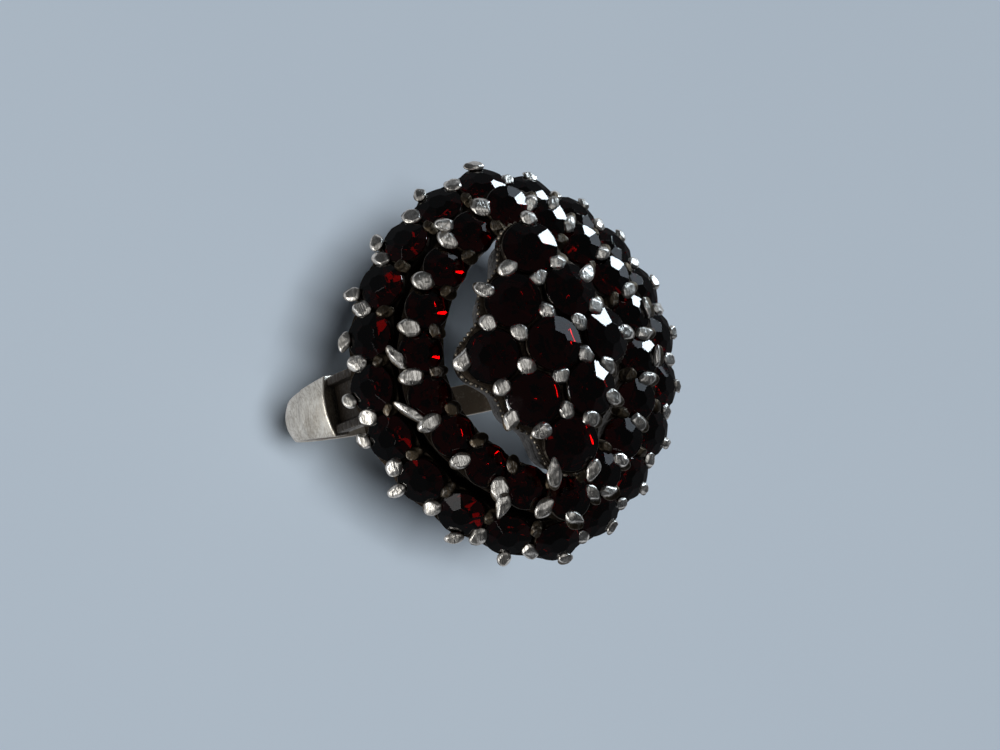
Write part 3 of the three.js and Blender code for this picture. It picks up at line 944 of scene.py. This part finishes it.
LOZENGE_SEED = 5
SCALLOP_END = radians(62)  # a scallop stops this far short of the stones beside it
SCALLOP_STEPS = 3
OUTLINE_STEPS = 6
DOME_SHARES = (0.02, 0.3, 0.6, 0.85, 1.0)  # the sizes of the plate's rings
GALLERY_INSET = 0.4
GALLERY_WALL = 0.4
GALLERY_TOP = -1.18
GALLERY_DROP = 1.2  # how far the wall reaches below the CAD's, slotted over the brackets
GALLERY_EDGE = 0.05
GALLERY_WEAR = 0.1
BEAD_RADIUS = 0.11
BEAD_SIZES = (0.8, 1.2)
BEAD_WEAR = (0.2, 0.8)
BEAD_SPACING = 0.27
BEAD_LEVEL = -0.5
BEAD_STEPS = 6
BEAD_SIDES = 10


class Dome:
    """The lozenge's curved top, taken from its stones, and its outline."""

    def __init__(self):
        middle = min(TOP, key=lambda stone: flat(stone.centre).length)
        side = max(TOP, key=lambda stone: stone.centre.x)
        tip = max(TOP, key=lambda stone: stone.centre.y)
        self.top = middle.centre.z
        self.fall_across = (self.top - side.centre.z) / side.centre.x**2
        self.fall_along = (self.top - tip.centre.z) / tip.centre.y**2
        self.outline = closed_curve(self.scallops(top_edge()), OUTLINE_STEPS)

    def scallops(self, edge):
        """Points round each edge stone, with one in each notch between two of them."""
        points = []
        for k, stone in enumerate(edge):
            before = flat(edge[k - 1].centre - stone.centre)
            after = flat(edge[(k + 1) % len(edge)].centre - stone.centre)
            inside = (before.to_2d().angle_signed(after.to_2d()) + tau) % tau
            spread = (tau - inside) / 2 - SCALLOP_END
            out = flat(row_out(edge, k)).normalized()
            for step in range(-SCALLOP_STEPS, SCALLOP_STEPS + 1):
                turned = Matrix.Rotation(spread * step / SCALLOP_STEPS, 3, "Z") @ out
                points.append(flat(stone.centre) + turned * (stone.radius + PLATE_OUTER))
            middle, _, notch_out = row_notch(edge, k)
            points.append(flat(middle) + flat(notch_out).normalized() * (NOTCH_OUT + CLAW_STEM))
        return points

    def at(self, point, up):
        """The point over a flat one that lies so far up from the dome."""
        x, y, _ = point
        height = self.top - self.fall_across * x * x - self.fall_along * y * y
        return Vector((x, y, height + up))

    def inset(self, point, distance):
        return flat(point) * (1 - distance / point.length)


DOME = Dome()


def dome_plate():
    bottom = -PAVILION_DEPTH * TOP[0].radius - PLATE_FLOOR
    levels = [(share, PLATE_TOP) for share in DOME_SHARES]
    levels += [(share, bottom) for share in reversed(DOME_SHARES)]
    shape = Shape()
    rings = [[DOME.at(point * share, depth) for point in DOME.outline] for share, depth in levels]
    shape.loft(rings)
    return shape


def make_gallery():
    """The upright wall under the lozenge."""
    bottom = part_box("top_gallery")[0].z / MM - GALLERY_DROP
    rings = []
    for point in DOME.outline:
        outer = DOME.inset(point, GALLERY_INSET)
        inner = DOME.inset(point, GALLERY_INSET + GALLERY_WALL)
        rings.append([
            DOME.at(outer, GALLERY_TOP), DOME.at(inner, GALLERY_TOP),
            inner + UP * bottom, outer + UP * bottom,
        ])
    make_wall("top_wall", "top_gallery", rings, GALLERY_WEAR, GALLERY_EDGE)


def add_bead(shape, centre, radius, wear_and_shade):
    rings = []
    for k in range(1, BEAD_STEPS):
        tilt = -pi / 2 + pi * k / BEAD_STEPS
        rings.append([centre + sphere_point(a, tilt) * radius for a in angles(BEAD_SIDES)])
    shape.loft(rings, wear_and_shade)


def rim_beads(chance):
    """The row of small uneven beads round the lozenge's rim."""
    shape = Shape()
    rim = [DOME.at(point, BEAD_LEVEL) for point in DOME.outline]
    for point in evenly(rim, BEAD_SPACING):
        add_bead(shape, point, BEAD_RADIUS * chance.uniform(*BEAD_SIZES), chance.uniform(*BEAD_WEAR))
    return shape


def make_lozenge():
    chance = random.Random(LOZENGE_SEED)
    cup_shape = cups(TOP, chance)
    claw_shape = top_claws(chance)
    make_setting("top", "top_setting", TOP, dome_plate(), cup_shape, claw_shape)
    make_gallery()
    finish_dark(make_object("top_rim_beads", rim_beads(chance)), "dark_silver")


# ---- frame and collar ----

RAIL_OUT = 0.2
RAIL_IN = -0.7
RAIL_EDGE = 0.1
RAIL_WEAR = 0.35
PLATE_CLEARANCE = 0.06  # between the rail and the plate that it carries
LEDGE_IN = -2.2
LEDGE_TOP = -0.62
LEDGE_BOTTOM = -1.1
COLLAR_OUT = 0.18
COLLAR_IN = -0.12
COLLAR_TOP = -1.05
COLLAR_EDGE = 0.04
COLLAR_WEAR = 0.2


def make_frame():
    """The rail under the outer row, with the ledge that reaches inward from it."""
    stone = OUTER[0]
    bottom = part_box("base_frame")[0].z / MM - stone.centre.z
    plate_floor = -PAVILION_DEPTH * stone.radius - PLATE_FLOOR
    low_out, low_up = OUTER_ROW.untilted(stone.radius + PLATE_OUTER, plate_floor)
    low_up -= PLATE_CLEARANCE
    slope = tan(OUTER_ROW.tilt)
    section = [
        (RAIL_OUT, bottom), (RAIL_OUT, low_up + (low_out - RAIL_OUT) * slope),
        (low_out - (LEDGE_TOP - low_up) / slope, LEDGE_TOP), (LEDGE_IN, LEDGE_TOP),
        (LEDGE_IN, LEDGE_BOTTOM), (RAIL_IN, LEDGE_BOTTOM), (RAIL_IN, bottom),
    ]
    rings = [[OUTER_ROW.grown(point, out, up) for out, up in section] for point in OUTER_ROW.line]
    make_wall("base_rail", "base_frame", rings, RAIL_WEAR, RAIL_EDGE)


def make_collar():
    """The wall that lifts the inner row above the frame."""
    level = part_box("riser_collar")[0].z / MM
    corners = [
        (COLLAR_OUT, 0, level), (COLLAR_OUT, COLLAR_TOP, None),
        (COLLAR_IN, COLLAR_TOP, None), (COLLAR_IN, 0, level),
    ]
    rings = [[INNER_ROW.grown(point, *corner) for corner in corners] for point in INNER_ROW.line]
    make_wall("riser_wall", "riser_collar", rings, COLLAR_WEAR, COLLAR_EDGE)


def finish_brackets():
    """The CAD brackets are right as they are, and only get their metal."""
    for node in ("bracket_front", "bracket_back"):
        finish_piece(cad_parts[node], TARNISH_AND_SHADE_SILVER, "dark_silver")


# ---- band and lugs ----

FINGER_RADIUS = 8.65
BAND_END = radians(60)  # angle from the top of the finger hole
BAND_THICKNESS = 1.2
BAND_BACK_THINNING = 0.2
BAND_WIDTH = 3.1
BAND_BACK_WIDTH = 1.8
BAND_TAPER = 4
BAND_CROWN = 0.32
BAND_STEPS = 180
BAND_ACROSS = 16
BAND_ANGLE = radians(50)
BAND_EDGE = 0.08
BAND_EDGE_SEGMENTS = 3
BAND_WEAR = 0.85
# The band's inner face is dark: tarnish, and painted shade under the head.
BAND_INSIDE_WEAR_AND_SHADE = 0.1
SHOULDER_STEP = radians(76)
SHOULDER_RAISE = 0.1
SHOULDER_SOFTNESS = radians(1.5)
LUG_GAP = 0.005  # angle between the band's end and a lug
LUG_THICKNESS = 0.95
LUG_WIDTH = 2.8
LUG_FOOT_THICKNESS = 1.15
LUG_BEND_HEIGHT = 0.7
LUG_BEND_INSET = 0.1
LUG_RIM = 0.4
LUG_RECESS = 0.4
LUG_RECESS_DRAFT = 0.1
LUG_STEPS = 16
LUG_EDGE = 0.06
LUG_WEAR = 0.3


def make_lug(node, side):
    """A short channel, open on its outer face, from the band's end to the foot of the head."""
    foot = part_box(node)[1].z / MM
    foot_outer = OUTER_ROW.half_width + RAIL_OUT
    start = pi / 2 - BAND_END + LUG_GAP
    bend = foot * LUG_BEND_HEIGHT
    outward = Vector((cos(start), 0, sin(start)))
    inner = outward * FINGER_RADIUS
    outer = outward * (FINGER_RADIUS + LUG_THICKNESS)
    inner_bend = Vector((inner.x - LUG_BEND_INSET, 0, bend))
    outer_bend = Vector((outer.x - LUG_BEND_INSET, 0, bend))
    inner_foot = Vector((foot_outer - LUG_FOOT_THICKNESS, 0, foot))
    outer_foot = Vector((foot_outer, 0, foot))
    half = LUG_WIDTH / 2
    rim = half - LUG_RIM
    floor_half = half - LUG_RIM - LUG_RECESS_DRAFT
    rings = []
    for k in range(LUG_STEPS + 1):
        share = k / LUG_STEPS
        a = bent(inner, inner_bend, inner_foot, share)
        b = bent(outer, outer_bend, outer_foot, share)
        floor = b.lerp(a, LUG_RECESS)
        ring = [
            (a, -half), (b, -half), (b, -rim), (floor, -floor_half),
            (floor, floor_half), (b, rim), (b, half), (a, half),
        ]
        rings.append([Vector((p.x * side, y, p.z)) for p, y in ring])
    shape = Shape()
    # The channel's recess gets no wear: it is painted dark as the shade inside the channel.
    shape.loft(rings, point_wear_and_shade=[LUG_WEAR] * 2 + [0] * 4 + [LUG_WEAR] * 2)
    finish_dark(make_object(node + "_channel", shape), "dark_silver", [node], LUG_EDGE)


def make_band():
    """The open hoop: flat inside, crowned outside, stepped at its shoulders, narrow at the back."""
    rings = []
    for k in range(BAND_STEPS + 1):
        from_top = BAND_END + 2 * (pi - BAND_END) * k / BAND_STEPS
        nearest = min(from_top, tau - from_top)
        share = (pi - nearest) / (pi - BAND_END)
        half = (BAND_BACK_WIDTH + (BAND_WIDTH - BAND_BACK_WIDTH) * share**BAND_TAPER) / 2
        past_step = smooth_step(SHOULDER_STEP - SHOULDER_SOFTNESS, SHOULDER_STEP, nearest)
        raised = SHOULDER_RAISE * (1 - past_step)
        thickness = BAND_THICKNESS - BAND_BACK_THINNING * (1 - share) + raised
        outward = Vector((sin(from_top), 0, cos(from_top)))
        ring = [outward * FINGER_RADIUS + AHEAD * y for y in (-half, half)]
        for j in range(BAND_ACROSS + 1):
            across = 1 - 2 * j / BAND_ACROSS
            reach = FINGER_RADIUS + thickness - BAND_CROWN * across * across
            ring.append(outward * reach + AHEAD * (across * half))
        rings.append(ring)
    shape = Shape()
    shape.loft(rings, point_wear_and_shade=[BAND_INSIDE_WEAR_AND_SHADE] * 2 + [BAND_WEAR] * (BAND_ACROSS + 1))
    band = make_object("band_metal", shape)
    round_edges(band, BAND_EDGE, BAND_EDGE_SEGMENTS, BAND_ANGLE)
    soften(band, BAND_ANGLE)
    finish_piece(band, BRIGHT_SILVER, "bright_silver", ["band"])


# ---- floor and sky ----

FLOOR_LEVEL = CAD_BOUNDS[0][2] / MM
FLOOR_SIZE = 3000
SKY_LOW = (0.045, 0.047, 0.051)
SKY_HIGH = (0.02, 0.02, 0.021)
SKY_TURN = 0.6  # height, from 0 at the horizon to 1 overhead, where SKY_HIGH starts


def make_floor():
    half = FLOOR_SIZE / 2
    shape = Shape()
    corners = ((-half, -half), (half, -half), (half, half), (-half, half))
    shape.points = [Vector((x, y, FLOOR_LEVEL)) for x, y in corners]
    shape.wear_and_shade = [0] * len(shape.points)
    shape.faces = [tuple(range(len(shape.points)))]
    floor = make_object("floor", shape)
    floor.data.materials.append(pale_floor())
    floor.visible_glossy = False
    return floor


def make_sky():
    """A dim grey sky, a little lighter near the horizon."""
    world = bpy.data.worlds.new("studio")
    world.use_nodes = True
    bpy.context.scene.world = world
    tree = world.node_tree
    place = tree.nodes.new("ShaderNodeTexCoord")
    split = tree.nodes.new("ShaderNodeSeparateXYZ")
    ramp = tree.nodes.new("ShaderNodeValToRGB")
    low, high = ramp.color_ramp.elements
    low.position = 0
    low.color = (*SKY_LOW, 1)
    high.position = SKY_TURN
    high.color = (*SKY_HIGH, 1)
    tree.links.new(place.outputs["Generated"], split.inputs["Vector"])
    tree.links.new(split.outputs["Z"], ramp.inputs["Fac"])
    tree.links.new(ramp.outputs["Color"], tree.nodes["Background"].inputs["Color"])


# ---- camera ----

HEAD_MIDDLE = Vector((0, 0, 10.6))
CAMERA_YAW = radians(16.7)  # the camera's turns away from looking straight down
CAMERA_PITCH = radians(4.8)
CAMERA_ROLL = radians(11.9)
CAMERA_DISTANCE = 84
CAMERA_LENS = 63.4
CAMERA_SENSOR = 36
CAMERA_SHIFT = (-0.0198, -0.0142)


def make_camera():
    across = Vector((cos(CAMERA_YAW), 0, sin(CAMERA_YAW)))
    back = Vector((
        -sin(CAMERA_YAW) * cos(CAMERA_PITCH), -sin(CAMERA_PITCH),
        cos(CAMERA_YAW) * cos(CAMERA_PITCH),
    ))
    along = back.cross(across)
    right = across * cos(CAMERA_ROLL) - along * sin(CAMERA_ROLL)
    up = across * sin(CAMERA_ROLL) + along * cos(CAMERA_ROLL)
    lens = bpy.data.cameras.new("camera")
    lens.lens = CAMERA_LENS
    lens.sensor_width = CAMERA_SENSOR
    lens.shift_x, lens.shift_y = CAMERA_SHIFT
    lens.clip_start = MM
    camera = link_object("camera", lens)
    camera.matrix_world = basis(right, up, back, (HEAD_MIDDLE + back * CAMERA_DISTANCE) * MM)
    bpy.context.scene.camera = camera


# ---- lights ----

# A light: the size of its panel, its power and its colour
Panel = namedtuple("Panel", "size power colour")

WINDOW = Panel((230, 170), 1.5, (0.8, 0.91, 1))
WINDOW_AZIMUTH = radians(32)
WINDOW_DISTANCE = 500
WINDOW_GLOW = Panel((420, 330), 0.4, (0.75, 0.87, 1))  # dim surroundings of the window
WINDOW_GLOW_DISTANCE = 520
LOW_FILL = Panel((420, 160), 1.2, (1, 0.97, 0.92))
LOW_FILL_AZIMUTH = radians(192)
LOW_FILL_DISTANCE = 450
SILVER_FILL = Panel((500, 500), 0.55, (1, 0.98, 0.95))
FLOOR_GLOW = Panel((200, 200), 0.06, (0.95, 0.97, 1))  # stands in for the floor that metal reflects
FLOOR_GLOW_PLACE = (-50, 0, 0.5)  # from the middle of the floor under the ring
HIGH_DISTANCE = 600
OVERHEAD = Panel((110, 110), 2.35, (1, 0.995, 0.97))  # lights the floor only
OVERHEAD_TILT = radians(6)
OVERHEAD_AZIMUTH = radians(232)
# The lights that make the stones glow from inside, and their tilts from straight up and azimuths
INNER_SPARK = Panel((300, 155), 3.2, (1, 1, 1))
INNER_SPARK_PLACES = [(radians(68), radians(187))]
OUTER_SPARK = INNER_SPARK._replace(power=0.096)
OUTER_SPARK_PLACES = [(radians(55), radians(150)), (radians(55), radians(207))]


def add_light(name, panel, place, target):
    light = bpy.data.lights.new(name, "AREA")
    light.shape = "RECTANGLE"
    light.size, light.size_y = (side * MM for side in panel.size)
    light.energy = panel.power
    light.color = panel.colour
    lamp = link_object(name, light)
    lamp.location = place * MM
    lamp.rotation_euler = (place - target).to_track_quat("Z", "Y").to_euler()
    lamp.visible_camera = False
    return lamp


def low_light(name, panel, azimuth, distance):
    """A light that stands on the floor."""
    target = Vector((0, 0, FLOOR_LEVEL + panel.size[1] / 2))
    return add_light(name, panel, target + spoke(azimuth) * distance, target)


def high_light(name, panel, tilt, azimuth):
    """A light above the head, tilted so far from straight up."""
    return add_light(name, panel, leaning(tilt, azimuth) * HIGH_DISTANCE, HEAD_MIDDLE)


def light_only(lamp, pieces, state="INCLUDE"):
    """Says that the lamp lights these pieces alone, or with EXCLUDE all the others."""
    group = bpy.data.collections.new(lamp.name + "_reach")
    for piece in pieces:
        group.objects.link(piece)
    for member in group.collection_objects:
        member.light_linking.link_state = state
    lamp.light_linking.receiver_collection = group


def make_lights(floor):
    window = low_light("window", WINDOW, WINDOW_AZIMUTH, WINDOW_DISTANCE)
    light_only(window, [floor], "EXCLUDE")
    low_fill = low_light("low_fill", LOW_FILL, LOW_FILL_AZIMUTH, LOW_FILL_DISTANCE)
    light_only(low_fill, SILVER_PIECES)
    light_only(high_light("silver_fill", SILVER_FILL, 0, 0), SILVER_PIECES)
    window_glow = low_light("window_glow", WINDOW_GLOW, WINDOW_AZIMUTH, WINDOW_GLOW_DISTANCE)
    light_only(window_glow, GARNET_PIECES)
    outer = [piece for piece in GARNET_PIECES if "outer" in piece.name]
    inner = [piece for piece in GARNET_PIECES if piece not in outer]
    sparks = ((INNER_SPARK, INNER_SPARK_PLACES, inner), (OUTER_SPARK, OUTER_SPARK_PLACES, outer))
    for panel, places, stones in sparks:
        for place in places:
            light_only(high_light("spark", panel, *place), stones)
    glow_place = Vector(FLOOR_GLOW_PLACE) + UP * FLOOR_LEVEL
    light_only(add_light("floor_glow", FLOOR_GLOW, glow_place, glow_place + UP), SILVER_PIECES)
    light_only(high_light("overhead", OVERHEAD, OVERHEAD_TILT, OVERHEAD_AZIMUTH), [floor])


# ---- the ring ----

make_camera()
make_band()
make_lug("lug_right", 1)
make_lug("lug_left", -1)
make_frame()
make_collar()
finish_brackets()
make_row("lower", "lower_setting", OUTER_ROW, OUTER_CLAWS, OUTER_SEED)
make_row("middle", "middle_setting", INNER_ROW, INNER_CLAWS, INNER_SEED)
make_lozenge()
make_garnets()
make_sky()
make_lights(make_floor())
bpy.context.scene.view_settings.view_transform = "Standard"
